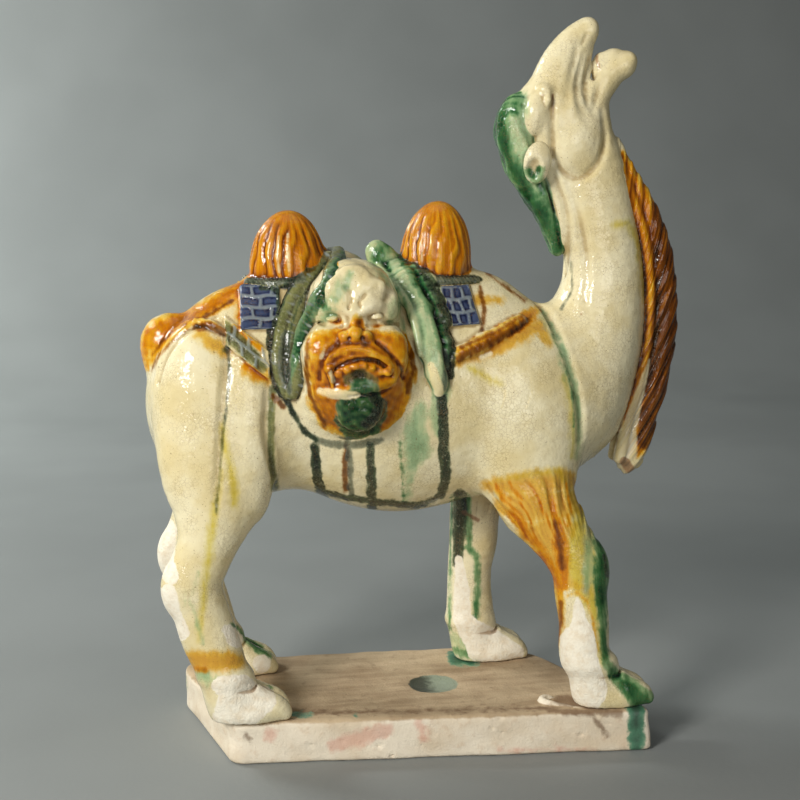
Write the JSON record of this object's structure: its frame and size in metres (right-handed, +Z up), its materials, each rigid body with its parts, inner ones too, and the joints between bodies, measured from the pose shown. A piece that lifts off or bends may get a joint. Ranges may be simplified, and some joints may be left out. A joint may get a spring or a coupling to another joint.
{
  "type": "glazed pottery camel figure",
  "caption": "Standing Bactrian camel of moulded pottery with raised head, pack saddle and mask-shaped bags, on a flat slab, under mixed drip glazes.",
  "frame": {"origin": "middle of the slab's underside, halfway between its outermost corners", "axes": "+X towards the camel's head, +Y towards its left side, +Z up"},
  "size_m": [0.2785, 0.1221, 0.3645],
  "materials": {
    "camel": "glossy crackled cream glaze with amber, green and cobalt runs",
    "plinth": "matte unglazed clay with a few glaze drips"
  },
  "bodies": {
    "root": {"camel": "camel", "plinth": "plinth"}
  },
  "joints": []
}
